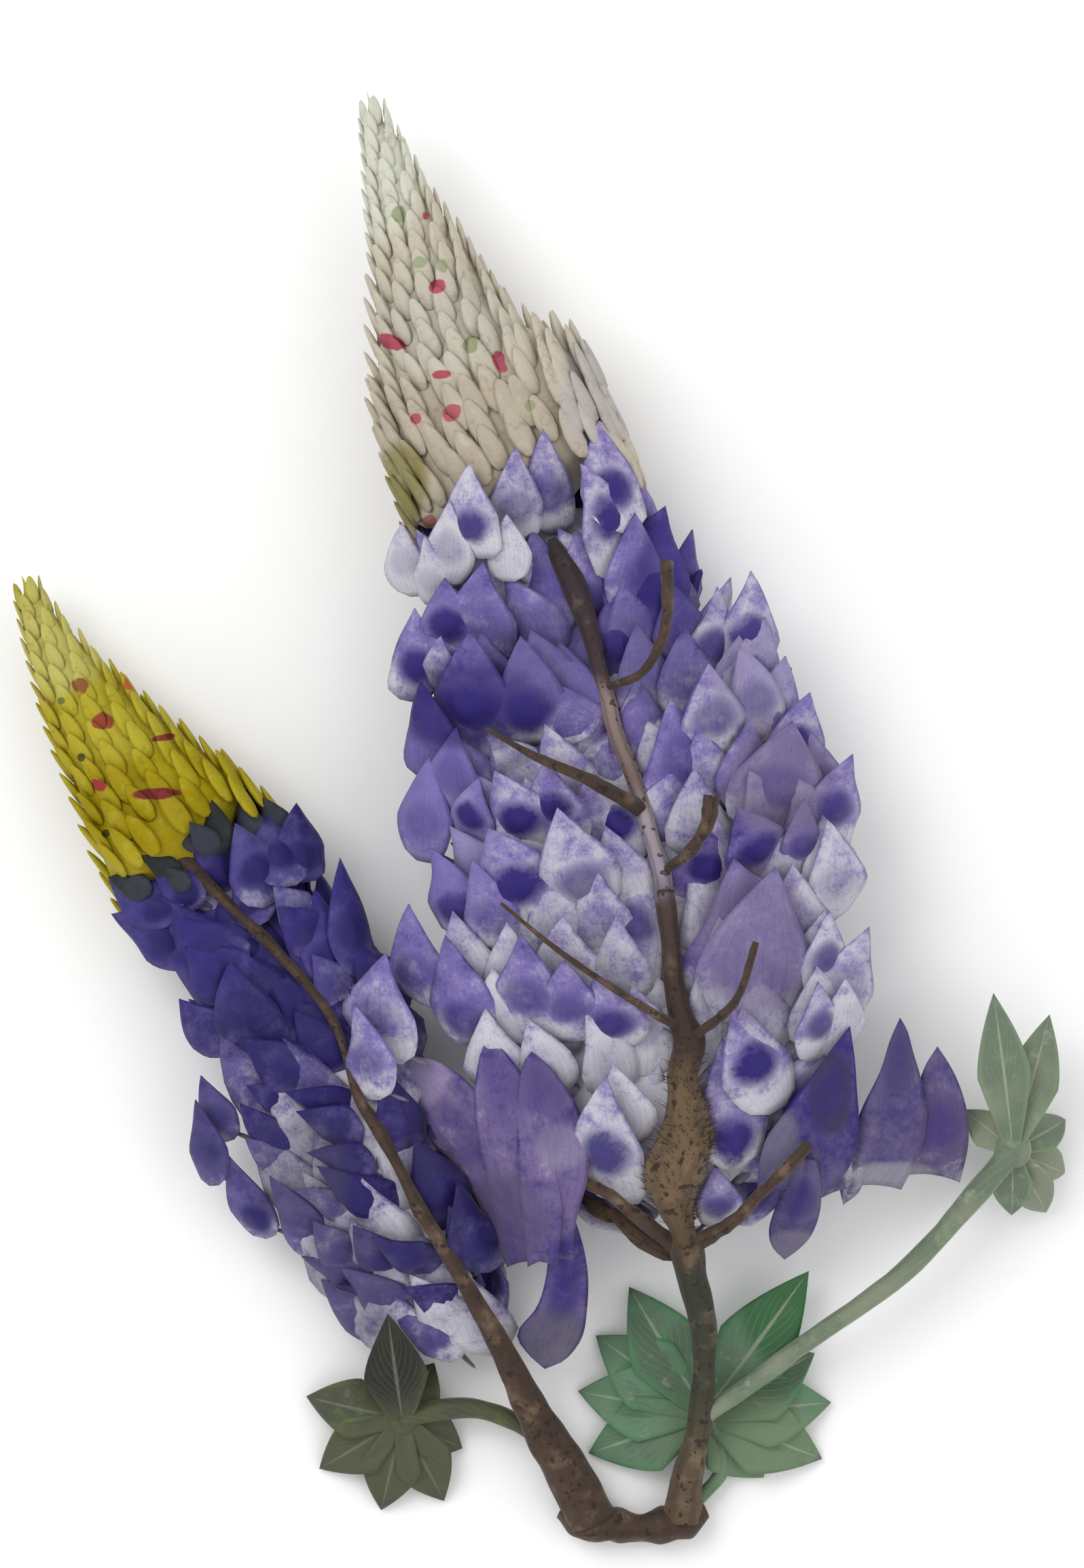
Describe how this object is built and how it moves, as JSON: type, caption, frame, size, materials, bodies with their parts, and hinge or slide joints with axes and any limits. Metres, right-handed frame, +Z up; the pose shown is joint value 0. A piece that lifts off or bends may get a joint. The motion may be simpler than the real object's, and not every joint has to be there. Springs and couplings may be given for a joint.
{
  "type": "lupin plant",
  "caption": "Lupin plant laid on a surface: tall violet flower spikes with pointed bud tips, brown branching stems and palmate green leaves joined at one crown.",
  "frame": {"origin": "centre of the footprint's bounding box, on the surface that the plant lies on", "axes": "+Y from the crown towards the flower tips, +X to the right as seen from above, +Z up from the surface"},
  "size_m": [0.2355, 0.3249, 0.0526],
  "materials": {
    "stem": "matt brown, slightly hairy stem",
    "violet_petal": "matt violet petal with a dark indigo spot and pale rim",
    "mauve_petal": "matt mauve petal",
    "cream_bud": "matt cream bud with red and green flecks",
    "yellow_bud": "matt yellow bud with red and green flecks",
    "leaf": "matt green leaf with a pale midrib"
  },
  "bodies": {
    "root": {"stems": "stem", "main_florets": "violet_petal", "side_florets": "violet_petal", "low_left_bloom": "mauve_petal", "low_right_bloom": "mauve_petal", "main_buds": "cream_bud", "side_buds": "yellow_bud", "leaf_left": "leaf", "leaf_centre": "leaf", "leaf_right": "leaf"}
  },
  "joints": []
}
